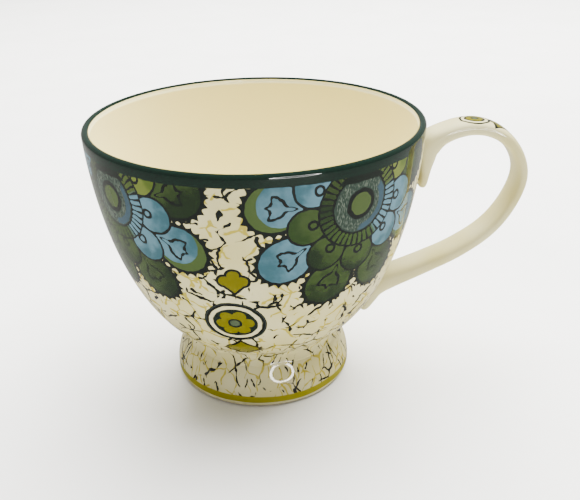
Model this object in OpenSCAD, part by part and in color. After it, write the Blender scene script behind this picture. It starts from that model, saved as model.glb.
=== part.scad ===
// Footed stoneware mug. A thrown bowl stands on a hollow flared foot, and a strap handle is luted to
// its wall.
// Each luted joint is a thin bed of clay slip between two fired pieces. Nothing on the mug moves.
// Millimetres, +Z up, handle towards +X. The origin is on the table, at the centre of the foot.

/* [Overall] */
// Height of the mug from the table to the top of its lip
mug_h = 96.4; // [80:0.2:125]
// Width of the bowl across its rim, without the handle
rim_d = 114; // [94:1:140]

/* [Bowl] */
// Thickness of the lip, which is rounded to half of this
lip_t = 2.6; // [2:0.1:3.4]
// Thickness of the bowl's wall low down
wall_t = 4.2; // [3.4:0.1:5.2]
// Thickness of the bowl's floor
floor_t = 5.2; // [4:0.1:6.5]
// How squarely the bowl's belly turns in towards the foot: higher is rounder
belly_power = 1.85; // [1.6:0.01:2.1]
// How quickly the bowl's side stands up from the belly: higher is steeper
side_power = 2.93; // [2.5:0.01:3.4]

/* [Foot] */
// Width of the foot across its widest part
foot_d = 65.2; // [54:0.2:72]
// Width of the waist where the foot meets the bowl
waist_d = 53.6; // [46:0.2:58]
// Height of the waist above the table
waist_z = 18; // [15:0.2:21.6]
// Thickness of the foot's wall
foot_wall = 5; // [4:0.1:6]
// Radius of the rounded edge round the foot's base
foot_edge_r = 2; // [1:0.1:2.8]

/* [Handle] */
// Width of the strap
strap_w = 12; // [10:0.2:15]
// Thickness of the strap at its thinnest
strap_t = 4.2; // [3.5:0.1:5.2]
// How far the strap's centreline stands out from the bowl's wall at its furthest
handle_reach = 38.4; // [32:0.2:46.2]
// Thickness of each free tail, below the two roots
tail_t = 3; // [2.4:0.1:3.8]
// Gap between the tip of each free tail and the bowl's wall
tail_gap = 1.8; // [1.4:0.1:3]

/* [Luting slip] */
// Thickness of the bed of slip in each joint
slip_t = 0.5; // [0.3:0.05:0.8]
// How far the slip shows round the edge of a handle root
slip_margin = 0.6; // [0.4:0.05:1]
// Height of the slip fillet on each side of the waist
slip_fillet = 3; // [2:0.1:3.6]

/* [Hidden] */
$fn = 240;

cream = [0.93, 0.90, 0.80];
warm_cream = [0.90, 0.86, 0.73];
slip_cream = [0.86, 0.82, 0.70];

// The slip bed at the waist fills the space between these two heights
seat_z = waist_z;
bowl_base_z = waist_z + slip_t;

// The bowl's outer curve reaches its full width above the lip, and would close just below the waist
crown_rise = 1.0475;
crown_spread = 1.0035;
crown_z = mug_h * crown_rise;
crown_r = rim_d / 2 * crown_spread;
waist_r = waist_d / 2;
waist_fraction = 1 - pow(waist_r / crown_r, side_power);
keel_z = crown_z - (crown_z - bowl_base_z) / pow(waist_fraction, 1 / belly_power);

lip_r = lip_t / 2;
lip_z = mug_h - lip_r;
floor_z = bowl_base_z + floor_t;
bowl_steps = 22;
slope_step = 0.05;
lip_steps = 8;
curve_steps = 6;

function bowl_r(z) =
    crown_r * pow(max(0, 1 - pow((crown_z - z) / (crown_z - keel_z), belly_power)), 1 / side_power);
function bowl_slope(z) = (bowl_r(z + slope_step) - bowl_r(z - slope_step)) / (2 * slope_step);
function bowl_normal(z) = [1, -bowl_slope(z)] / sqrt(1 + pow(bowl_slope(z), 2));
// A point on the outer wall at height z, moved out along the wall's normal
function wall_point(z, out) = [bowl_r(z), z] + out * bowl_normal(z);
function wall_thickness(z) = lip_t + (wall_t - lip_t) * (lip_z - z) / (lip_z - bowl_base_z);
function bend(a, b, c, t) = (1 - t) * (1 - t) * a + 2 * t * (1 - t) * b + t * t * c;
function curve(a, b, c) = [for (i = [0 : curve_steps]) bend(a, b, c, i / curve_steps)];

// Heights of the points up the bowl's wall, closest together near the waist where it curves most
waist_bunching = 1.6;
function wall_z(i) = bowl_base_z + (lip_z - bowl_base_z) * pow(i / bowl_steps, waist_bunching);

// The inner wall stops here, and the floor's curve carries on to the middle
inner_foot_z = bowl_base_z + 2 * wall_t;
inner_foot = wall_point(inner_foot_z, -wall_thickness(inner_foot_z));
floor_turn = [inner_foot.x - bowl_slope(inner_foot_z) * (inner_foot.y - floor_z), floor_z];
floor_flat = [floor_turn.x / 2, floor_z];

bowl_outline = concat(
    [[0, bowl_base_z]],
    [for (i = [0 : bowl_steps]) [bowl_r(wall_z(i)), wall_z(i)]],
    [for (i = [1 : lip_steps - 1]) [bowl_r(lip_z) - lip_r, lip_z]
        + lip_r * [cos(180 * i / lip_steps), sin(180 * i / lip_steps)]],
    [for (i = [bowl_steps : -1 : 0]) if (wall_z(i) > inner_foot_z + slope_step)
        wall_point(wall_z(i), -wall_thickness(wall_z(i)))],
    curve(inner_foot, floor_turn, floor_flat),
    [[0, floor_z]]
);

module bowl() {
    color(cream) rotate_extrude() polygon(bowl_outline);
}

// The bowl's outside as a solid, grown along the wall's normal by the thickness of a slip bed
module bowl_blank(out) {
    rotate_extrude() polygon(concat(
        [[0, bowl_base_z - out]],
        [for (i = [0 : bowl_steps]) wall_point(wall_z(i), out)],
        [[0, lip_z]]
    ));
}

// The foot swells from the waist to its base along a parabola, above a straight band at its base
foot_r = foot_d / 2;
foot_band_z = 3;
foot_steps = 8;
function flare_r(z) =
    foot_r - (foot_r - waist_r) * pow(max(0, z - foot_band_z) / (seat_z - foot_band_z), 2);
function flare_z(i) = foot_band_z + (seat_z - foot_band_z) * i / foot_steps;

foot_outline = concat(
    [for (i = [0 : curve_steps]) [foot_r - foot_edge_r, foot_edge_r]
        + foot_edge_r * [sin(90 * i / curve_steps), -cos(90 * i / curve_steps)]],
    [for (i = [0 : foot_steps]) [flare_r(flare_z(i)), flare_z(i)]],
    [for (i = [foot_steps : -1 : 0]) [flare_r(flare_z(i)) - foot_wall, flare_z(i)]],
    [[foot_r - foot_wall, 0]]
);

module pedestal_foot() {
    color(cream) rotate_extrude() polygon(foot_outline);
}

// Slip squeezed out of the waist joint, wiped to a fillet outside and left as a bead inside the foot
slip_bead = 0.8;
fillet_low = [flare_r(seat_z - slip_fillet), seat_z - slip_fillet];
fillet_high = [bowl_r(bowl_base_z + slip_fillet), bowl_base_z + slip_fillet];

module foot_slip_joint() {
    color(slip_cream) difference() {
        rotate_extrude() polygon(concat(
            [[waist_r - foot_wall - slip_bead, bowl_base_z],
                [waist_r - foot_wall - slip_bead, seat_z - slip_bead],
                [waist_r - foot_wall + slip_bead, seat_z - slip_bead],
                [waist_r - foot_wall + slip_bead, seat_z]],
            [[waist_r - foot_wall / 2, seat_z], [waist_r - foot_wall / 2, seat_z - slip_fillet]],
            curve(fillet_low, [waist_r + slip_t / 2, seat_z + slip_t / 2], fillet_high),
            [[waist_r - foot_wall / 2, fillet_high.y], [waist_r - foot_wall / 2, bowl_base_z]]
        ));
        pedestal_foot();
        bowl();
    }
}

// Centreline of the handle, from the tip of the upper tail, over the top and down to the tip of the
// lower one.
// Each row is a height as a share of the mug's, how far the line stands out from the wall, and the thickness.
drawn_reach = 38.4;
reach = handle_reach / drawn_reach;
strap_path = [
    [0.724, tail_gap + tail_t / 2, tail_t],
    [0.783, 2.9, strap_t],
    [0.834, 2.7, strap_t * 1.5],
    [0.881, 3.3, strap_t * 1.9],
    [0.922, 8.5 * reach, strap_t * 1.36],
    [0.947, 18.1 * reach, strap_t * 1.22],
    [0.906, 29.2 * reach, strap_t * 1.08],
    [0.808, 36.7 * reach, strap_t],
    [0.708, drawn_reach * reach, strap_t],
    [0.571, 34.9 * reach, strap_t * 1.07],
    [0.477, 26.8 * reach, strap_t * 1.22],
    [0.411, 16.9 * reach, strap_t * 1.4],
    [0.348, 6.2 * reach, strap_t * 1.7],
    [0.32, 3.1, strap_t * 1.82],
    [0.276, 4.1, strap_t * 1.25],
    [0.222, tail_gap * 2.2 + tail_t * 0.8, tail_t * 1.15]
];
upper_root = [1, 4];
lower_root = [11, 14];
rings_per_span = 4;
ring_points = 20;
// The strap's section is a rectangle with well-rounded corners: 1 would be an ellipse
corner_power = 0.7;

function path_row(i) = strap_path[max(0, min(len(strap_path) - 1, i))];
function path_point(i) =
    let (row = path_row(i), z = row[0] * mug_h) [bowl_r(z) + row[1], z, row[2]];
// A smooth curve through the rows, by the span it is on and how far along that span it is
function smooth(a, b, c, d, t) =
    0.5 * (2 * b + (c - a) * t + (2 * a - 5 * b + 4 * c - d) * t * t + (3 * b - a - 3 * c + d) * t * t * t);
function strap_at(s) =
    let (i = min(floor(s), len(strap_path) - 2))
    smooth(path_point(i - 1), path_point(i), path_point(i + 1), path_point(i + 2), s - i);
function strap_normal(s) =
    let (d = strap_at(min(s + slope_step, len(strap_path) - 1)) - strap_at(max(s - slope_step, 0)))
    [d.y, -d.x] / norm([d.x, d.y]);
function rounded(v) = sign(v) * pow(abs(v), corner_power);

// One ring of the strap at s, grown by margin
function strap_ring(s, margin) =
    let (c = strap_at(s), n = strap_normal(s), half_t = c.z / 2 + margin, half_w = strap_w / 2 + margin)
    [for (k = [0 : ring_points - 1])
        let (a = 360 * (k + 0.5) / ring_points, in = half_t * rounded(cos(a)))
        [c.x + n.x * in, half_w * rounded(sin(a)), c.y + n.y * in]];

module strap(first, last, margin) {
    count = (last - first) * rings_per_span;
    rings = [for (i = [0 : count]) each strap_ring(first + i / rings_per_span, margin)];
    sides = [for (i = [0 : count - 1], k = [0 : ring_points - 1])
        let (a = i * ring_points, b = a + ring_points, next = (k + 1) % ring_points)
        each [[a + k, a + next, b + next], [a + k, b + next, b + k]]];
    ends = [[for (k = [ring_points - 1 : -1 : 0]) k],
        [for (k = [0 : ring_points - 1]) count * ring_points + k]];
    polyhedron(rings, concat(sides, ends), convexity = 6);
}

module handle() {
    color(warm_cream) difference() {
        strap(0, len(strap_path) - 1, 0);
        bowl_blank(slip_t);
    }
}

// The bed of slip under one root of the handle, between the spans of the centreline that touch the wall
module root_slip(root) {
    color(slip_cream) difference() {
        intersection() {
            strap(root[0], root[1], slip_margin);
            bowl_blank(slip_t);
        }
        bowl_blank(0);
    }
}

module upper_slip_joint() { root_slip(upper_root); }

module lower_slip_joint() { root_slip(lower_root); }

bowl();
pedestal_foot();
handle();
foot_slip_joint();
upper_slip_joint();
lower_slip_joint();
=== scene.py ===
import math

import bmesh
import bpy
from mathutils import Matrix, Vector


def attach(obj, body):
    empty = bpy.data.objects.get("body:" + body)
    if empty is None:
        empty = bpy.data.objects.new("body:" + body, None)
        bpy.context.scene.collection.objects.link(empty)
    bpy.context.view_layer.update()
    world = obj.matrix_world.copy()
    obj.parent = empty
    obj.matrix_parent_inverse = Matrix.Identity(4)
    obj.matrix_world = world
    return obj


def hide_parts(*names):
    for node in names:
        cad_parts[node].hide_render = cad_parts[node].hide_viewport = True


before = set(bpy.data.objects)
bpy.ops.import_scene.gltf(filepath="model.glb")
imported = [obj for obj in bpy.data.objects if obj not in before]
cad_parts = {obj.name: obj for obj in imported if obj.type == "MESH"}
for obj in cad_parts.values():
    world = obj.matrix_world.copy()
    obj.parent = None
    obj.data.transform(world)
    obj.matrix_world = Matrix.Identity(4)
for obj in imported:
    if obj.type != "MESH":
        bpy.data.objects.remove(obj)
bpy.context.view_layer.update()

# Bowl. White stoneware, slip-cast in one piece with an open belly and a thin drawn-in lip, then
# covered all over in clear gloss glaze. Printed flowers are fired on the outside under the gloss,
# with a bottle-green line round the lip. It stands on the foot, stuck on with slip.

mm = 0.001
mug_height = 96.4
rim_width = 114.0
lip_thick = 2.6
wall_thick = 4.2
floor_thick = 5.2
belly_power = 1.85
side_power = 2.93
waist_width = 53.6
waist_height = 18.0
slip_thick = 0.5
crown_rise = 1.0475
crown_spread = 1.0035
points_around = 288

crown_height = mug_height * crown_rise
crown_radius = rim_width / 2 * crown_spread
waist_radius = waist_width / 2
bowl_base = waist_height + slip_thick
waist_share = 1 - (waist_radius / crown_radius) ** side_power
keel_height = crown_height - (crown_height - bowl_base) / waist_share ** (1 / belly_power)
lip_radius = lip_thick / 2
lip_height = mug_height - lip_radius
floor_height = bowl_base + floor_thick


def bowl_radius(height):
    """Outside radius of the bowl at a height."""
    depth = (crown_height - height) / (crown_height - keel_height)
    return crown_radius * max(0.0, 1 - depth ** belly_power) ** (1 / side_power)


def bowl_slope(height):
    """How fast the outside radius grows with height."""
    return (bowl_radius(height + 0.01) - bowl_radius(height - 0.01)) / 0.02


def wall_point(height, out):
    """(radius, height) of the point that far outside the bowl's outer skin."""
    slope = bowl_slope(height)
    stretch = math.hypot(1, slope)
    return (bowl_radius(height) + out / stretch, height - out * slope / stretch)


def between(first, last, share):
    return first + (last - first) * share


def bezier(start, control, end, count):
    """Points of a quadratic curve in the (radius, height) plane."""
    points = []
    for step in range(count + 1):
        t = step / count
        points.append(tuple(
            (1 - t) ** 2 * a + 2 * t * (1 - t) * b + t * t * c for a, b, c in zip(start, control, end)))
    return points


def even(points, gap):
    """The same line with its points a steady gap apart, ends kept."""
    runs = [0.0]
    for a, b in zip(points, points[1:]):
        runs.append(runs[-1] + math.dist(a, b))
    count = max(1, round(runs[-1] / gap))
    line = []
    at = 0
    for step in range(count + 1):
        run = runs[-1] * step / count
        while at < len(runs) - 2 and runs[at + 1] < run:
            at += 1
        share = (run - runs[at]) / (runs[at + 1] - runs[at])
        line.append(tuple(between(a, b, share) for a, b in zip(points[at], points[at + 1])))
    return line


def joined(*lines):
    """Lines laid end to end, each shared point once."""
    outline = [lines[0][0]]
    for line in lines:
        for point in line:
            if math.dist(point, outline[-1]) > 1e-4:
                outline.append(point)
    return outline


def run_of(outline):
    """Distance along the outline at each of its points."""
    runs = [0.0]
    for a, b in zip(outline, outline[1:]):
        runs.append(runs[-1] + math.dist(a, b))
    return runs


class Wire:
    """One socket of a node tree, so that maths on it reads as an expression."""

    def __init__(self, tree, socket=None):
        self.tree = tree
        self.socket = socket

    def new(self, kind, settings=None, values=None, out=0):
        """Adds any node: its settings first, then the values or wires of its sockets."""
        node = self.tree.nodes.new(kind)
        for name, setting in (settings or {}).items():
            if name == "stops":
                ramp = node.color_ramp
                while len(ramp.elements) < len(setting):
                    ramp.elements.new(0.5)
                for element, (place, colour) in zip(ramp.elements, setting):
                    element.position = place
                    element.color = colour
            elif name == "fade":
                node.color_ramp.interpolation = setting
            else:
                setattr(node, name, setting)
        for name, value in (values or {}).items():
            if isinstance(value, Wire):
                self.tree.links.new(value.socket, node.inputs[name])
            else:
                node.inputs[name].default_value = value
        return Wire(self.tree, node.outputs[out] if len(node.outputs) else None)

    def maths(self, operation, *others):
        values = {0: self}
        for place, other in enumerate(others):
            values[place + 1] = other
        return self.new("ShaderNodeMath", {"operation": operation}, values)

    def __add__(self, other):
        return self.maths("ADD", other)

    __radd__ = __add__

    def __mul__(self, other):
        return self.maths("MULTIPLY", other)

    __rmul__ = __mul__

    def __sub__(self, other):
        return self.maths("SUBTRACT", other)

    def __rsub__(self, other):
        return self.new("ShaderNodeMath", {"operation": "SUBTRACT"}, {0: other, 1: self})

    def __truediv__(self, other):
        return self.maths("DIVIDE", other)

    def __rtruediv__(self, other):
        return self.new("ShaderNodeMath", {"operation": "DIVIDE"}, {0: other, 1: self})

    def __abs__(self):
        return self.maths("ABSOLUTE")

    def lower(self, other):
        return self.maths("MINIMUM", other)

    def higher(self, other):
        return self.maths("MAXIMUM", other)

    def length(self, other):
        """The long side of a right angle with these two sides."""
        return (self * self + other * other).maths("SQRT")

    def past(self, edge, soft=0.12):
        """0 below the edge and 1 above it, with a soft step."""
        low = edge - soft / 2
        high = edge + soft / 2
        values = {"Value": self, "From Min": low, "From Max": high}
        return self.new("ShaderNodeMapRange", {"interpolation_type": "SMOOTHSTEP"}, values)

    def within(self, edge, soft=0.12):
        return 1 - self.past(edge, soft)

    def band(self, low, high, soft=0.12):
        return self.past(low, soft) * self.within(high, soft)

    def spread(self, low, high, to_low=0.0, to_high=1.0):
        """Straight from one range to another, and held at its ends."""
        values = {"Value": self, "From Min": low, "From Max": high, "To Min": to_low, "To Max": to_high}
        return self.new("ShaderNodeMapRange", {}, values)

    def over(self, colour, mask):
        """This colour with another laid over it where the mask is 1."""
        settings = {"data_type": "RGBA"}
        return self.new("ShaderNodeMix", settings, {0: mask, 6: self, 7: colour}, 2)

    def ramp(self, stops, fade="CONSTANT"):
        return self.new("ShaderNodeValToRGB", {"stops": stops, "fade": fade}, {0: self})

    def parts(self):
        """The three numbers of a vector."""
        split = self.tree.nodes.new("ShaderNodeSeparateXYZ")
        self.tree.links.new(self.socket, split.inputs[0])
        return [Wire(self.tree, output) for output in split.outputs]

    def shifted(self, other):
        return self.new("ShaderNodeVectorMath", {"operation": "ADD"}, {0: self, 1: other})

    def scaled(self, factor):
        settings = {"operation": "SCALE"}
        return self.new("ShaderNodeVectorMath", settings, {0: self, "Scale": factor})

    def noise(self, size, detail=1.0, out=0):
        """Smooth random values with features about that many millimetres across."""
        values = {"Vector": self, "Scale": 1 / size, "Detail": detail}
        return self.new("ShaderNodeTexNoise", {}, values, out)

    def net(self, size):
        """Distance in millimetres to a flat net of random cells about that size."""
        values = {"Vector": self, "Scale": 1 / size}
        settings = {"feature": "DISTANCE_TO_EDGE", "voronoi_dimensions": "2D"}
        return self.new("ShaderNodeTexVoronoi", settings, values, "Distance") * size


def throwing_tree():
    """Turns an outline into a round pot: one column of points for each step round the wheel."""
    tree = bpy.data.node_groups.new("throwing_wheel", "GeometryNodeTree")
    sockets = {}
    for name, kind in (("Outline", "Geometry"), ("Points around", "Int"), ("Points along", "Int"),
                       ("Seam gap", "Float"), ("Glaze", "Material")):
        sockets[name] = tree.interface.new_socket(name, in_out="INPUT", socket_type="NodeSocket" + kind)
    tree.interface.new_socket("Pot", in_out="OUTPUT", socket_type="NodeSocketGeometry")
    given = tree.nodes.new("NodeGroupInput")
    outline, around, along, seam, glaze = [Wire(tree, given.outputs[name]) for name in sockets]
    sheet = outline.new("GeometryNodeMeshGrid", {}, {
        "Size X": 1.0, "Size Y": 1.0, "Vertices X": around, "Vertices Y": along})
    here = outline.new("GeometryNodeInputPosition")
    across, up, _ = here.parts()
    turn = across + 0.5
    row = ((up + 0.5) * (along - 1)).maths("ROUND")
    spot = outline.new("GeometryNodeSampleIndex", {"data_type": "FLOAT_VECTOR"}, {
        "Geometry": outline, "Value": here, "Index": row})
    share = outline.new("GeometryNodeInputNamedAttribute", {"data_type": "FLOAT"}, {"Name": "run"})
    run = outline.new("GeometryNodeSampleIndex", {"data_type": "FLOAT"}, {
        "Geometry": outline, "Value": share, "Index": row})
    flat = outline.new("ShaderNodeCombineXYZ", {}, {"X": turn, "Y": run})
    sheet = outline.new("GeometryNodeStoreNamedAttribute", {"data_type": "FLOAT2", "domain": "CORNER"}, {
        "Geometry": sheet, "Name": "UVMap", "Value": flat})
    radius, _, height = spot.parts()
    angle = turn * (2 * math.pi)
    place = outline.new("ShaderNodeCombineXYZ", {}, {
        "X": radius * angle.maths("COSINE"), "Y": radius * angle.maths("SINE"), "Z": height})
    pot = outline.new("GeometryNodeSetPosition", {}, {"Geometry": sheet, "Position": place})
    pot = outline.new("GeometryNodeMergeByDistance", {}, {"Geometry": pot, "Distance": seam})
    pot = outline.new("GeometryNodeSetShadeSmooth", {}, {"Geometry": pot})
    pot = outline.new("GeometryNodeRealizeInstances", {}, {"Geometry": pot})
    pot = outline.new("GeometryNodeSetMaterial", {}, {"Geometry": pot, "Material": glaze})
    result = tree.nodes.new("NodeGroupOutput")
    tree.links.new(pot.socket, result.inputs[0])
    return tree, {name: socket.identifier for name, socket in sockets.items()}


def outward(mesh):
    """Closes doubled points and turns every face outwards."""
    body = bmesh.new()
    body.from_mesh(mesh)
    bmesh.ops.remove_doubles(body, verts=body.verts, dist=1e-6)
    bmesh.ops.recalc_face_normals(body, faces=body.faces)
    body.to_mesh(mesh)
    body.free()


wheel, wheel_inputs = throwing_tree()


def thrown(name, outline, glaze):
    """A round piece thrown from its outline of (radius, height) points in millimetres."""
    blank = bpy.data.meshes.new(name + "_outline")
    blank.from_pydata([(radius * mm, 0, height * mm) for radius, height in outline],
                      [(row, row + 1) for row in range(len(outline) - 1)], [])
    runs = run_of(outline)
    share = blank.attributes.new("run", "FLOAT", "POINT")
    for row, run in enumerate(runs):
        share.data[row].value = run / runs[-1]
    piece = bpy.data.objects.new(name, blank)
    bpy.context.scene.collection.objects.link(piece)
    modifier = piece.modifiers.new("throw", "NODES")
    modifier.node_group = wheel
    modifier[wheel_inputs["Points around"]] = points_around + 1
    modifier[wheel_inputs["Points along"]] = len(outline)
    modifier[wheel_inputs["Seam gap"]] = 1e-6
    modifier[wheel_inputs["Glaze"]] = glaze
    view = bpy.context.evaluated_depsgraph_get()
    mesh = bpy.data.meshes.new_from_object(piece.evaluated_get(view), depsgraph=view)
    piece.modifiers.remove(modifier)
    piece.data = mesh
    mesh.name = name
    outward(mesh)
    return piece


def tint(code, light=0.47):
    """A colour from its six hex digits, as the glaze really reflects it."""
    shades = []
    for place in (0, 2, 4):
        value = int(code[place:place + 2], 16) / 255
        value = value / 12.92 if value <= 0.04045 else ((value + 0.055) / 1.055) ** 2.4
        shades.append(value * light)
    return (*shades, 1.0)


def stripes(codes):
    """Ramp stops that give each step of a count its own colour."""
    return [(place / len(codes), tint(code)) for place, code in enumerate(codes)]


def fresh(name):
    """An empty material, with a wire to build from and the place in millimetres."""
    material = bpy.data.materials.new(name)
    material.use_nodes = True
    tree = material.node_tree
    tree.nodes.clear()
    start = Wire(tree)
    spot = start.new("ShaderNodeTexCoord", {}, {}, "Object").scaled(1 / mm)
    return material, start, spot


def fired(material, start, spot, colour, gloss=0.75):
    """Ends a material as clear gloss glaze, faintly rippled over a duller clay body."""
    ripple = spot.noise(9, 1.0)
    lift = start.new("ShaderNodeBump", {}, {"Strength": 0.35, "Distance": 0.00012, "Height": ripple})
    rough = spot.noise(14, 3.0).spread(0.3, 0.7, 0.35, 0.5)
    skin = start.new("ShaderNodeBsdfPrincipled", {}, {
        "Base Color": colour, "Roughness": rough, "Specular IOR Level": 0.0, "Coat Weight": gloss,
        "Coat Roughness": 0.04, "Coat IOR": 1.5, "Normal": lift}, "BSDF")
    start.new("ShaderNodeOutputMaterial", {}, {"Surface": skin})
    return material


def drifting(spot, size, detail, first, second, ends=0.3):
    """Two close colours that drift into each other in patches about that size."""
    share = spot.noise(size, detail).spread(ends, 1 - ends)
    return spot.new("ShaderNodeMix", {"data_type": "RGBA"}, {0: share, 6: first, 7: second}, 2)


def cream_ground(spot):
    """The cream glaze on its own, a little yellower where it lies thick."""
    return drifting(spot, 18.0, 1.0, cream, deep_cream, 0.35)


def turn_round(x, y):
    """Degrees round the pot, clockwise from the handle, from 0 to 360."""
    turn = (y * -1).maths("ARCTAN2", x) * (180 / math.pi)
    return turn + 360 * turn.within(0.0, 0.001)


def grey(value):
    return (value, value, value, 1.0)


cream = tint("E6DEAA", 0.71)
deep_cream = tint("DCD192", 0.71)
lining = tint("F8ECAC", 0.88)
ink = tint("0A1410")
bottle = tint("081F16", 0.7)
olive = tint("BBA91A", 0.66)
leaf_olive = tint("857E04")
flower_olive = tint("8C8508")
# Painted highlight: the thin grey line that runs round inside the medallion's black ring.
painted_ring_highlight = tint("56605A")
medallion_ground = tint("13241B")
flower_eye = tint("5C6B50")
eye_line = tint("14231A")
thorn_ink = tint("0C1712")
crescent_green = tint("526834")
button_green = tint("526634")
button_ground = tint("31443A")
hatch_grey = tint("93A08D")
moon_blue = tint("3F5B6B")
lid_ink = tint("0B1A12")

blue_light = "6E9CAE"
blue_dark = "42717F"
green_light = "425827"
green_dark = "1C3016"
broad_light = [blue_light, green_light, green_light, blue_light, blue_light, green_light, blue_light,
               green_light, green_light]
broad_dark = [blue_dark, green_dark, green_dark, blue_dark, blue_dark, green_dark, blue_dark,
              green_dark, green_dark]
small_light = [blue_light, blue_light, green_light, green_light, green_light, blue_light, green_light,
               green_light, "7F8F3A"]
small_dark = [blue_dark, blue_dark, green_dark, green_dark, "2C4718", blue_dark, green_dark,
              green_dark, "5F7424"]
crown_shape = [(0.0, grey(0.56)), (0.1, grey(0.41)), (0.22, grey(0.43)), (0.34, grey(0.68)),
               (0.42, grey(0.6)), (0.54, grey(0.48)), (0.82, grey(0.4)), (0.91, grey(0.45)),
               (1.0, grey(0.92))]
peg_colours = [(0.0, tint("1F3518")), (0.3, tint("55682E")), (0.44, tint("55682E")),
               (0.46, tint(blue_light)), (0.64, tint(blue_light)), (0.67, tint("415A26")),
               (0.85, tint("415A26")), (1.0, tint("1F3518"))]

print_repeat = 83
medallion_from = 58
medallion_to = 307
medallion_drop = 52
rosette_from = 16.5
rosette_to = 348.5
rosette_drop = 10.7
petal_count = 9
petal_angle = 360 / petal_count
broad_middle = 27.3
broad_long = 8.7
broad_wide = 8.2
small_middle = 17.6
small_long = 6.2
small_wide = 5.95
comb_radius = 14.35
button_radius = 9.3
rim_line_height = 92.9


def twigs(spot, turn, down, colour):
    """Fine olive veins and black thorny twigs, broken up as a printed ground."""
    sheet = spot.new("ShaderNodeCombineXYZ", {}, {"X": turn * (48 * math.pi / 180), "Y": down})
    bend = spot.noise(6.0, 2.0, "Color").shifted((-0.5, -0.5, -0.5)).scaled(4.5)
    bent = sheet.shifted(bend)
    swell = spot.noise(3.0)
    for shift, size, patch, wide in ((31.0, 10.0, 9.0, 0.45), (77.0, 6.5, 8.0, 0.3)):
        half = ((spot.shifted((shift, 0.0, 0.0)).noise(patch) - 0.5) * 8).lower(wide) + (swell - 0.5) * 1.2
        veins = (bent.shifted((shift, 7.0, 0.0)).net(size) - half).within(0.0, 0.25)
        colour = colour.over(olive, veins * 0.85)
    knots = (spot.noise(1.8) - 0.5) * 1.0
    for shift, size, patch, wide in ((0.0, 11.0, 7.0, 0.52), (51.0, 8.0, 6.0, 0.38)):
        half = ((spot.shifted((shift, 50.0, 9.0)).noise(patch) - 0.5) * 8).lower(wide) + knots
        twig = (bent.shifted((shift, 3.0, 0.0)).net(size) - half).within(0.0, 0.16)
        colour = colour.over(ink, twig)
    return colour


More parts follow.
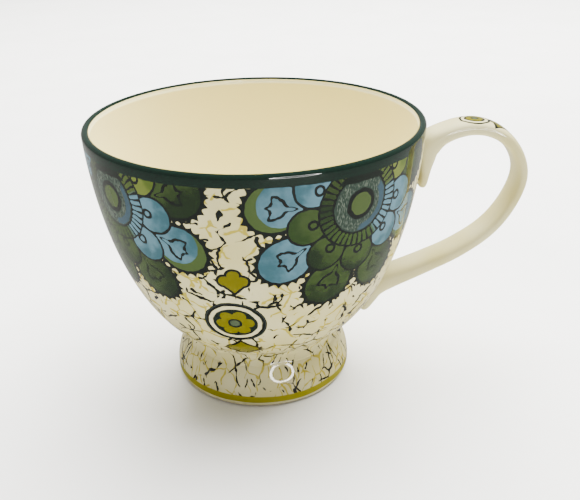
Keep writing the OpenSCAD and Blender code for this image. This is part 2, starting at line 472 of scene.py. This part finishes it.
def decorated_glaze():
    """The printed bowl: rosettes with two rings of petals, medallions and leaf sprigs."""
    material, start, spot = fresh("decorated_glaze")
    x, y, height = spot.parts()
    radius = x.length(y)
    along = start.new("ShaderNodeUVMap", {"uv_map": "UVMap"}).parts()[1] * bowl_run
    down = rim_run - along
    turn = turn_round(x, y)
    shake = spot.noise(2.6, 1.0, "Color").shifted((-0.5, -0.5, -0.5)).scaled(0.7)
    shake_x, shake_y, _ = shake.parts()
    colour = twigs(spot, turn, down, cream_ground(spot))

    # Leaf sprigs above and below each medallion, then the medallion itself.
    fold = (turn - medallion_from).maths("FLOORED_MODULO", print_repeat) - print_repeat / 2
    ring_zone = turn.band(medallion_from, medallion_to, 0.01)
    side = fold * (-math.pi / 180) * radius + shake_x
    for middle, flip, size, shift in ((33.5, 1, 1.0, 0.5), (68.5, -1, 1.15, -0.4)):
        drop = ((down - middle) * (flip / size)) + shake_y
        lean = abs(side - shift) / size
        leaf = lean.length(drop + 2.9) - 1.85
        leaf = leaf.lower((lean - 2.6).length(drop + 0.7) - 1.8)
        leaf = leaf.lower(lean.length(drop + 0.4) - 1.5)
        leaf = leaf.lower((lean - 3.9 + drop * 0.95).higher(drop * -1) * 0.72)
        spike = (lean - (7.0 - drop) * 0.16).higher(3.6 - drop)
        colour = colour.over(ink, leaf.within(0.85).higher(spike.within(0.0)) * ring_zone)
        colour = colour.over(leaf_olive, leaf.within(0.0) * ring_zone)
    drop = down - medallion_drop + shake_y
    side = side + 0.9
    reach = side.length(drop)
    colour = colour.over(ink, reach.within(10.05) * ring_zone)
    # A thin grey line inside the black ring, painted as a highlight on it.
    colour = colour.over(painted_ring_highlight, reach.band(9.5, 9.64) * ring_zone)
    colour = colour.over(cream, reach.within(8.5) * ring_zone)
    colour = colour.over(medallion_ground, reach.within(7.1) * ring_zone)
    bearing = drop.maths("ARCTAN2", side) * (180 / math.pi)
    lobe = ((bearing + 96).maths("FLOORED_MODULO", 60) - 30) * (math.pi / 180)
    flower = (reach * lobe.maths("COSINE") - 4.0).length(reach * lobe.maths("SINE")) - 2.2
    flower = flower.lower(reach - 3.4)
    colour = colour.over(flower_olive, flower.within(0.0) * ring_zone)
    colour = colour.over(eye_line, reach.within(2.3) * ring_zone)
    colour = colour.over(flower_eye, reach.within(1.6) * ring_zone)

    # Rosette: nine broad petals with a thorny edge, each with a crown drawn in it.
    fold = (turn - rosette_from).maths("FLOORED_MODULO", print_repeat) - print_repeat / 2
    zone = turn.band(rosette_from, rosette_to, 0.01)
    side = fold * (-math.pi / 180) * radius + shake_x
    drop = down - rosette_drop + shake_y
    reach = side.length(drop)
    bearing = drop.maths("ARCTAN2", side) * (180 / math.pi)
    wash = spot.noise(5.0, 3.0)
    slot = (bearing - 6).maths("FLOORED_MODULO", 360) / petal_angle
    petal = slot.maths("FLOOR")
    lean = (slot - petal - 0.5) * math.radians(petal_angle)
    out = reach * lean.maths("COSINE") - broad_middle
    across = reach * lean.maths("SINE")
    edge = ((out / broad_long).length(across / broad_wide) - 1) * 8.4
    thorn = abs((across.maths("ARCTAN2", out) * 11).maths("SINE"))
    fringe = edge - 1.85 + thorn * 1.3
    outside = reach.past(15.0)
    colour = colour.over(thorn_ink, fringe.within(0.0, 0.2) * outside * zone)
    pick = (petal + 0.5) / petal_count
    light = pick.ramp(stripes(broad_light))
    dark = pick.ramp(stripes(broad_dark))
    fill = light.over(dark, (wash * 0.7 + across * (petal - 2.5) / 90 + out / 60).past(0.38, 0.4))
    leafy = (out + 2.1).length(across - (petal - 2) * 0.65) - 7.3
    crescent = leafy.past(0.0, 0.3) * abs(abs(petal - 2) - 2).within(0.5, 0.01)
    fill = fill.over(crescent_green, crescent)
    crown = out + 1.0
    round_crown = abs(across.maths("ARCTAN2", crown)) / math.pi
    crown_edge = round_crown.ramp(crown_shape, "EASE") * 6
    line = abs(crown.length(across) - crown_edge).within(0.48)
    fill = fill.over(ink, line)
    inside = edge.within(0.0, 0.1) * outside * zone
    colour = colour.over(fill, inside)
    colour = colour.over(ink, abs(edge + 0.1).within(0.42) * outside * zone)

    # Nine small petals in front, each with a bead at its root.
    slot = (bearing + 14).maths("FLOORED_MODULO", 360) / petal_angle
    petal = slot.maths("FLOOR")
    lean = (slot - petal - 0.5) * math.radians(petal_angle)
    out = reach * lean.maths("COSINE")
    across = reach * lean.maths("SINE")
    edge = (((out - small_middle) / small_long).length(across / small_wide) - 1) * 6.0
    colour = colour.over(ink, edge.within(0.4) * zone)
    pick = (petal + 0.5) / petal_count
    light = pick.ramp(stripes(small_light))
    dark = pick.ramp(stripes(small_dark))
    fill = light.over(dark, (wash * 0.7 + (out - small_middle) / 22).past(0.42, 0.3))
    colour = colour.over(fill, edge.within(-0.35) * zone)
    bead = (out - 15.8).length(across)
    colour = colour.over(ink, bead.within(1.75) * zone)
    colour = colour.over(light, bead.within(0.9) * zone)

    # The comb of pegs, the scribbled ring and the button at the middle.
    colour = colour.over(ink, reach.within(comb_radius) * zone)
    step = ((bearing / 9 + 200).maths("FRACT") - 0.5) * (9 * math.pi / 180) * reach
    peg = step.length((reach - 10.5).lower(0.0))
    pegs = (bearing / 360 + 0.5).ramp(peg_colours, "LINEAR")
    colour = colour.over(pegs, peg.within(0.62) * reach.within(13.75) * zone)
    colour = colour.over(button_ground, reach.within(button_radius) * zone)
    stroke = (spot.shifted((0.0, 0.0, 3.0)).new("ShaderNodeVectorMath", {"operation": "MULTIPLY"}, {
        0: spot, 1: (4.0, 4.0, 0.8)})).noise(1.0, 2.0)
    hatch = stroke.past(0.56, 0.08) * reach.band(5.3, 8.9, 0.6)
    colour = colour.over(hatch_grey, hatch * 0.5 * zone)
    moon = reach.band(7.0, 9.0, 0.5) * (side + drop * 0.5).past(4.2, 1.6)
    colour = colour.over(moon_blue, moon * zone)
    lid = (drop + 9.3).within(2.2, 0.3) * reach.within(11.0)
    colour = colour.over(lid_ink, lid * zone)
    colour = colour.over(ink, reach.within(5.0) * zone)
    colour = colour.over(button_green, (reach + wash * 0.3).within(3.75) * zone)

    # The line round the lip, and plain cream everywhere inside and underneath.
    colour = colour.over(lining, along.past(lip_run, 0.01))
    colour = colour.over(cream, along.within(base_run, 0.01))
    brushed = height + wash * 0.5
    inner_line = (along - lip_run - 1.3).within(0.0, 0.15)
    colour = colour.over(bottle, brushed.past(rim_line_height, 0.3) * inner_line)
    return fired(material, start, spot, colour)


outer_wall = even([wall_point(bowl_base + 0.1 * step, 0)
                   for step in range(int((lip_height - bowl_base) * 10) + 1)], 1.0)
lip_centre = bowl_radius(lip_height) - lip_radius
lip_line = [(lip_centre + lip_radius * math.cos(math.pi * step / 14),
             lip_height + lip_radius * math.sin(math.pi * step / 14)) for step in range(15)]


def wall_thickness(height):
    return lip_thick + (wall_thick - lip_thick) * (lip_height - height) / (lip_height - bowl_base)


inner_foot_height = bowl_base + 2 * wall_thick
inner_wall = [wall_point(height / 10, -wall_thickness(height / 10))
              for height in range(int(lip_height * 10), int(inner_foot_height * 10), -1)]
inner_foot = wall_point(inner_foot_height, -wall_thickness(inner_foot_height))
inner_wall.append(inner_foot)
floor_turn = (inner_foot[0] - bowl_slope(inner_foot_height) * (inner_foot[1] - floor_height), floor_height)
inner_floor = bezier(inner_foot, floor_turn, (floor_turn[0] / 2, floor_height), 40)
inner_floor.append((0.0, floor_height))
base_line = [(0.0, bowl_base), (bowl_radius(bowl_base), bowl_base)]
bowl_outline = joined(even(base_line, 4), outer_wall, lip_line, even(inner_wall, 1.2), even(inner_floor, 1.2))

bowl_run = run_of(bowl_outline)[-1]
base_run = bowl_radius(bowl_base)
lip_run = base_run + run_of(outer_wall)[-1] + math.pi * lip_radius / 2
rim_run = base_run + run_of([point for point in outer_wall if point[1] <= 94.6])[-1]

bowl = thrown("bowl_glazed", bowl_outline, decorated_glaze())
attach(bowl, "root")
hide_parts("bowl")

# Foot. A flared hollow ring of the same clay, cast apart from the bowl and printed with the same
# twigs above an olive line. The ring it stands on is wiped clean of glaze and left as bare clay.

foot_width = 65.2
foot_wall = 5.0
foot_edge = 2.0
foot_flat = 3.0
print_top = 108
band_low = 2.5
band_high = 5.0
band_olive = tint("A59C14", 0.62)
bare_clay = tint("D9CBAA", 0.66)
dark_clay = tint("C3B48F", 0.66)


def flare_radius(height):
    """Outside radius of the foot at a height."""
    share = max(0.0, height - foot_flat) / (waist_height - foot_flat)
    return foot_width / 2 - (foot_width / 2 - waist_radius) * share ** 2


def foot_glaze(printed_share):
    """Cream with twigs and an olive line on the outer share of the outline, and a bare clay base."""
    material, start, spot = fresh("foot_glaze")
    x, y, height = spot.parts()
    colour = twigs(spot, turn_round(x, y), print_top - height, cream_ground(spot))
    hand = spot.noise(12.0) * 0.8
    colour = colour.over(cream, height.within(3.4, 0.1))
    colour = colour.over(band_olive, (height + hand).band(band_low, band_high, 0.3))
    along = start.new("ShaderNodeUVMap", {"uv_map": "UVMap"}).parts()[1]
    colour = colour.over(cream, along.past(printed_share, 0.001))
    bare = (height + spot.noise(6.0) * 0.6).within(1.2, 0.4)
    colour = colour.over(drifting(spot, 0.6, 4.0, bare_clay, dark_clay), bare)
    return fired(material, start, spot, colour, (1 - bare) * 0.75)


edge_turn = [(foot_width / 2 - foot_edge + foot_edge * math.sin(math.pi / 2 * step / 8),
              foot_edge - foot_edge * math.cos(math.pi / 2 * step / 8)) for step in range(9)]
foot_outside = even([(flare_radius(height / 10), height / 10)
                     for height in range(int(foot_edge * 10), int(waist_height * 10) + 1)], 0.8)
foot_inside = [(radius - foot_wall, height) for radius, height in reversed(foot_outside)]
inner_ground = foot_width / 2 - foot_wall
inner_turn = [(inner_ground, 0.8), (inner_ground + 0.25, 0.25), (inner_ground + 0.9, 0.0)]
foot_outline = joined(edge_turn, foot_outside, foot_inside, inner_turn, [edge_turn[0]])
foot_outline.append(foot_outline[0])

foot_print = run_of(joined(edge_turn, foot_outside))[-1] / run_of(foot_outline)[-1]
foot = thrown("foot_glazed", foot_outline, foot_glaze(foot_print))
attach(foot, "root")
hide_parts("pedestal_foot")

# Waist joint. Wet slip squeezed out between bowl and foot, sponged to a smooth curve and glazed
# with them, so that one flows into the other.

fillet_rise = 3.0
fillet_top = bowl_base + fillet_rise
fillet_foot = waist_height - fillet_rise
fillet_line = bezier((flare_radius(fillet_foot), fillet_foot), (waist_radius + 0.25, waist_height + 0.25),
                     (bowl_radius(fillet_top), fillet_top), 16)
bed_inside = waist_radius - foot_wall
bead_size = 0.8
bead_line = bezier((bed_inside - bead_size, bowl_base + 0.05), (bed_inside - 0.1, waist_height),
                   (bed_inside + 0.05, waist_height - bead_size), 6)
bed_back = waist_radius - 1.2
fillet_back = [(bowl_radius(fillet_top) - 0.6, fillet_top - 0.1), (bed_back, bowl_base + 0.3)]
fillet_back += bead_line
fillet_back += [(bed_back, waist_height - 0.3), (flare_radius(fillet_foot) - 0.6, fillet_foot + 0.1)]
fillet_outline = joined(fillet_line, fillet_back)
fillet_outline.append(fillet_outline[0])
fillet_print = run_of(fillet_line)[-1] / run_of(fillet_outline)[-1]
waist = thrown("waist_fillet", fillet_outline, foot_glaze(fillet_print + 0.02))
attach(waist, "root")
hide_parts("foot_slip_joint")

# Handle. A strap rolled and bent by hand while soft, thick where it leaves the bowl and with both
# ends pulled out into short tails that lie along the wall. It carries a small printed medallion.

strap_wide = 12.0
strap_thick = 4.2
tail_thick = 3.0
tail_gap = 1.8
corner_power = 0.7
free_from = 3.5
free_to = 11.0
strap_path = [
    (0.724, tail_gap + tail_thick / 2, tail_thick), (0.783, 2.9, strap_thick),
    (0.834, 2.7, strap_thick * 1.5), (0.881, 3.3, strap_thick * 1.9),
    (0.922, 8.5, strap_thick * 1.36), (0.947, 18.1, strap_thick * 1.22),
    (0.906, 29.2, strap_thick * 1.08), (0.808, 36.7, strap_thick),
    (0.708, 38.4, strap_thick), (0.571, 34.9, strap_thick * 1.07),
    (0.477, 26.8, strap_thick * 1.22), (0.411, 16.9, strap_thick * 1.4),
    (0.348, 6.2, strap_thick * 1.7), (0.32, 3.1, strap_thick * 1.82),
    (0.276, 4.1, strap_thick * 1.25), (0.222, tail_gap * 2.2 + tail_thick * 0.8, tail_thick * 1.15)]
strap_rows = []
for share, out, thick in strap_path:
    strap_rows.append((bowl_radius(share * mug_height) + out, share * mug_height, thick))


def strap_through(place):
    """(x, height, thickness) of the smooth line that passes through every row of the strap."""
    last = len(strap_rows) - 1
    at = min(int(place), last - 1)
    t = place - at
    before = strap_rows[max(at - 1, 0)]
    first = strap_rows[at]
    second = strap_rows[at + 1]
    after = strap_rows[min(at + 2, last)]
    return [0.5 * (2 * b + (c - a) * t + (2 * a - 5 * b + 4 * c - d) * t * t
                   + (3 * b - a - 3 * c + d) * t ** 3) for a, b, c, d in zip(before, first, second, after)]


def strap_at(place):
    """The strap's middle line, with the bends of its free arc evened as by the potter's hand."""
    window = max(min(0.5, (place - free_from) / 2, (free_to - place) / 2), 0.0)
    near = [strap_through(place + window * step / 4) for step in range(-4, 5)]
    return [sum(values) / len(values) for values in zip(*near)]


def strap_point(place, angle, shrink=1.0):
    """A point of the strap's skin: angle 0 faces the finger gap along the bend."""
    x, height, thick = strap_at(place)
    ahead = strap_at(min(place + 0.01, len(strap_rows) - 1))
    behind = strap_at(max(place - 0.01, 0))
    dx = ahead[0] - behind[0]
    dz = ahead[1] - behind[1]
    size = math.hypot(dx, dz)
    dx, dz = dx / size, dz / size
    lift = math.copysign(abs(math.cos(angle)) ** corner_power, math.cos(angle)) * thick / 2 * shrink
    side = math.copysign(abs(math.sin(angle)) ** corner_power, math.sin(angle)) * strap_wide / 2 * shrink
    return Vector((x + dz * lift, side, height - dx * lift))


tip_length = 0.62
tip_run = 0.3
tip_power = 0.7
tip_rings = 8
ring_points = 48
rings_per_row = 14
last_row = len(strap_rows) - 1
stations = []
for step in range(1, tip_rings + 1):
    angle = math.pi / 2 * step / (tip_rings + 1)
    stations.append((tip_length * (1 - math.cos(angle)), math.sin(angle) ** tip_power))
middle = int((last_row - 2 * tip_length) * rings_per_row)
for step in range(middle + 1):
    stations.append((between(tip_length, last_row - tip_length, step / middle), 1.0))
for place, shrink in reversed(stations[:tip_rings]):
    stations.append((last_row - place, shrink))

strap_points = [strap_point(0, 0, 0)]
for place, shrink in stations:
    for step in range(ring_points):
        strap_points.append(strap_point(place, 2 * math.pi * step / ring_points, shrink))
strap_points.append(strap_point(last_row, 0, 0))

strap_middle = [strap_at(place)[:2] for place, _ in stations]
strap_runs = [0.0] + [run + tip_run for run in run_of(strap_middle)]
strap_runs.append(strap_runs[-1] + tip_run)

faces = []
flats = []
for ring in range(len(stations) - 1):
    for step in range(ring_points):
        beside = (step + 1) % ring_points
        near = 1 + ring * ring_points
        far = near + ring_points
        faces.append((near + step, near + beside, far + beside, far + step))
        low, high = strap_runs[ring + 1], strap_runs[ring + 2]
        flats.append([(step, low), (step + 1, low), (step + 1, high), (step, high)])
for step in range(ring_points):
    beside = (step + 1) % ring_points
    end = len(strap_points) - 1
    rim = end - ring_points
    faces.append((0, 1 + beside, 1 + step))
    flats.append([(step, 0.0), (step + 1, strap_runs[1]), (step, strap_runs[1])])
    faces.append((end, rim + step, rim + beside))
    flats.append([(step, strap_runs[-1]), (step, strap_runs[-2]), (step + 1, strap_runs[-2])])


def solid(name, points, faces, glaze, flats=None, flat_size=(1, 1)):
    """A closed smooth piece from points in millimetres, with its own flat map where it has one."""
    mesh = bpy.data.meshes.new(name)
    mesh.from_pydata([tuple(value * mm for value in point) for point in points], [], faces)
    if flats:
        layer = mesh.uv_layers.new(name="UVMap")
        corner = 0
        for flat in flats:
            for across, along in flat:
                layer.data[corner].uv = (across / flat_size[0], along / flat_size[1])
                corner += 1
    mesh.materials.append(glaze)
    mesh.polygons.foreach_set("use_smooth", [True] * len(mesh.polygons))
    outward(mesh)
    piece = bpy.data.objects.new(name, mesh)
    bpy.context.scene.collection.objects.link(piece)
    return piece


medallion_run = 32.5
sprig_run = medallion_run + 9.0
stem_from = medallion_run + 12.5
stem_to = medallion_run + 21


def handle_glaze():
    """Cream gloss with a small printed medallion and sprig over the top of the bend."""
    material, start, spot = fresh("handle_glaze")
    _, side, _ = spot.parts()
    flat_map = start.new("ShaderNodeUVMap", {"uv_map": "UVMap"}).parts()
    along = flat_map[1] * strap_runs[-1]
    outer = abs(flat_map[0] - 0.5).within(0.23, 0.01)
    colour = cream_ground(spot)
    shake = spot.noise(2.0) * 0.5 - 0.25
    drop = along - medallion_run + shake
    ring = (side * 0.95).length(drop)
    colour = colour.over(ink, ring.within(4.7) * outer)
    colour = colour.over(cream, ring.within(4.0) * outer)
    colour = colour.over(ink, ring.within(3.2) * outer)
    colour = colour.over(leaf_olive, (ring + shake).within(2.6) * outer)
    colour = colour.over(ink, ring.within(1.2) * outer)
    colour = colour.over(flower_eye, ring.within(0.8) * outer)
    drop = along - sprig_run + shake
    lean = abs(side) * 1.15
    leaf = lean.length(drop + 2.4) - 1.6
    leaf = leaf.lower((lean - 1.7).length(drop + 0.8) - 1.5)
    leaf = leaf.lower((lean - 2.8 + drop * 0.75).higher(-2.6 - drop) * 0.8)
    colour = colour.over(ink, leaf.within(0.75) * outer)
    colour = colour.over(leaf_olive, leaf.within(0.0) * outer)
    stem = abs(side + shake * 2).within(0.3) * along.band(stem_from, stem_to, 0.6)
    colour = colour.over(ink, stem * outer)
    return fired(material, start, spot, colour)


handle = solid("handle_glazed", strap_points, faces, handle_glaze(), flats, (ring_points, strap_runs[-1]))
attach(handle, "root")
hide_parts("handle")

# Root joints. The handle is luted on with slip at its two roots. The slip is wiped with a wet
# finger into a small hollow curve round each root, and the glaze pools in it.

fillet_width = 1.3
root_points = 96
fillet_points = 7
search_step = 0.02
halvings = 24
half_turn_share = 0.55


def above_wall(point):
    """How far a point in millimetres stands outside the bowl."""
    return math.hypot(point.x, point.y) - bowl_radius(point.z)


def root_fillet(name, centre, spread, back, glaze):
    """A closed curl of slip along the line where the strap's back meets the wall."""
    points = []
    for step in range(root_points):
        turn = 2 * math.pi * step / root_points

        def ray(size):
            place = centre + size * math.cos(turn) * spread
            return (place, back + size * math.sin(turn) * math.pi * half_turn_share)

        low, high = 0.0, 0.0
        while above_wall(strap_point(*ray(high))) < 0:
            low = high
            high += search_step
        for _ in range(halvings):
            half = (low + high) / 2
            if above_wall(strap_point(*ray(half))) < 0:
                low = half
            else:
                high = half
        place, angle = ray(high)
        root = strap_point(place, angle)
        slope = bowl_slope(root.z)
        wall_up = Vector((root.x, root.y, -slope * math.hypot(root.x, root.y))).normalized()
        skin = (strap_point(place + 0.01, angle) - strap_point(place - 0.01, angle)).cross(
            strap_point(place, angle + 0.01) - strap_point(place, angle - 0.01)).normalized()
        edge = wall_up.cross(skin).normalized()
        off_wall = edge.cross(skin).normalized()
        if off_wall.dot(wall_up) < 0:
            off_wall = -off_wall
        off_strap = edge.cross(wall_up).normalized()
        inner = strap_point(*ray(high * 0.9))
        if off_strap.dot(root - inner) < 0:
            off_strap = -off_strap
        foot_end = root + off_strap * fillet_width - wall_up * 0.03
        strap_end = root + off_wall * fillet_width
        for mark in range(fillet_points):
            t = mark / (fillet_points - 1)
            points.append(foot_end * (1 - t) ** 2 + root * 2 * t * (1 - t) + strap_end * t * t)
        points.append(root - (off_strap + off_wall) * 0.5 - wall_up * 0.3)
    size = fillet_points + 1
    faces = []
    for step in range(root_points):
        beside = (step + 1) % root_points
        near = step * size
        far = beside * size
        for mark in range(size):
            after = (mark + 1) % size
            faces.append((near + mark, far + mark, far + after, near + after))
    return solid(name, points, faces, glaze)


slip_cream = tint("DCD192", 0.66)
pooled_slip = tint("D6C98A", 0.66)


def slip_glaze():
    """Slip under clear glaze, a touch warmer than the clay where the glaze pools."""
    material, start, spot = fresh("slip")
    colour = drifting(spot, 3.0, 2.0, slip_cream, pooled_slip)
    return fired(material, start, spot, colour)


slip_finish = slip_glaze()
for name, node, centre, spread, back in (("upper_root_fillet", "upper_slip_joint", 2.5, 2.0, math.pi),
                                         ("lower_root_fillet", "lower_slip_joint", 12.6, 2.0, 0.0)):
    fillet = root_fillet(name, centre, spread, back, slip_finish)
    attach(fillet, "root")
    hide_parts(node)

# Table and light. A pale table in even light, with a broad soft light above and behind, and a ring
# lamp low in front that shows only as small round gleams in the glaze.

table_half = 4
table_corners = [(table_half * x, table_half * y, 0) for x, y in ((-1, -1), (1, -1), (1, 1), (-1, 1))]
table_mesh = bpy.data.meshes.new("table")
table_mesh.from_pydata(table_corners, [], [(0, 1, 2, 3)])
table = bpy.data.objects.new("table", table_mesh)
bpy.context.scene.collection.objects.link(table)
material, start, spot = fresh("table_top")
paint = drifting(spot, 60.0, 3.0, tint("F6F5F1", 1.0), tint("F1F0EB", 1.0))
# Painted reflection: where the glaze mirrors the table, the table is painted dark grey, so its reflection
# shows darker than the pale table itself.
mirrored = start.new("ShaderNodeLightPath", {}, {}, "Is Glossy Ray")
paint = paint.over(tint("6A6966", 1.0), mirrored)
top = start.new("ShaderNodeBsdfPrincipled", {}, {"Base Color": paint, "Roughness": 0.6}, "BSDF")
start.new("ShaderNodeOutputMaterial", {}, {"Surface": top})
table_mesh.materials.append(material)

lamp_place = Vector((0.43, -1.02, 0.30))
lamp_outer = 0.32
lamp_inner = 0.255
ring_steps = 96
lamp_mesh = bpy.data.meshes.new("ring_lamp")
lamp_points = []
facing = Vector((0, 0, 0.05)) - lamp_place
turned = facing.to_track_quat("Z", "Y")
for step in range(ring_steps):
    angle = 2 * math.pi * step / ring_steps
    for size in (lamp_inner, lamp_outer):
        flat = Vector((size * math.cos(angle), size * math.sin(angle), 0))
        lamp_points.append(lamp_place + turned @ flat)
lamp_faces = []
for step in range(ring_steps):
    beside = (step + 1) % ring_steps
    lamp_faces.append((2 * step, 2 * step + 1, 2 * beside + 1, 2 * beside))
lamp_mesh.from_pydata(lamp_points, [], lamp_faces)
lamp = bpy.data.objects.new("ring_lamp", lamp_mesh)
bpy.context.scene.collection.objects.link(lamp)
lamp.visible_camera = False
lamp.visible_diffuse = False
lamp.visible_shadow = False
material = bpy.data.materials.new("lamp_glow")
material.use_nodes = True
material.node_tree.nodes.clear()
start = Wire(material.node_tree)
glow = start.new("ShaderNodeEmission", {}, {"Color": (1, 0.98, 0.95, 1), "Strength": 60.0})
start.new("ShaderNodeOutputMaterial", {}, {"Surface": glow})
lamp_mesh.materials.append(material)

world = bpy.data.worlds.new("studio")
bpy.context.scene.world = world
world.use_nodes = True
world.node_tree.nodes.clear()
start = Wire(world.node_tree)
seen = start.new("ShaderNodeLightPath", {}, {}, "Is Camera Ray")
bright = seen.spread(0, 1, 0.5, 2.0)
sky = start.new("ShaderNodeBackground", {}, {"Color": (1.0, 0.985, 0.95, 1), "Strength": bright})
start.new("ShaderNodeOutputWorld", {}, {"Surface": sky})

window_place = Vector((0.22, 0.5, 1.1))
window_aim = Vector((0, 0, 0.03))
window_data = bpy.data.lights.new("back_window", "AREA")
window_data.size = 1.7
window_data.energy = 150
window = bpy.data.objects.new("back_window", window_data)
window.location = window_place
window.rotation_euler = (window_aim - window_place).to_track_quat("-Z", "Y").to_euler()
window.visible_glossy = False
bpy.context.scene.collection.objects.link(window)

# Camera. Held a little above the rim, looking down at the front of the bowl with the handle to
# the right.

camera_place = Vector((0, -245.8, 167.2)) * mm
camera_aim = Vector((11.05, 0, 45.76)) * mm
camera_roll = math.radians(-0.98)
frame_width = 580
focal_length = 748.5
sensor_width = 36
ahead = (camera_aim - camera_place).normalized()
right = ahead.cross(Vector((0, 0, 1))).normalized()
up = right.cross(ahead)
level = math.cos(camera_roll)
tilt = math.sin(camera_roll)
across = right * level + up * tilt
upright = up * level - right * tilt
camera_data = bpy.data.cameras.new("camera")
camera_data.sensor_width = sensor_width
camera_data.lens = focal_length / frame_width * sensor_width
camera_data.clip_start = 0.01
camera = bpy.data.objects.new("camera", camera_data)
turned = Matrix((across, upright, -ahead)).transposed().to_4x4()
camera.matrix_world = Matrix.Translation(camera_place) @ turned
bpy.context.scene.collection.objects.link(camera)
bpy.context.scene.camera = camera
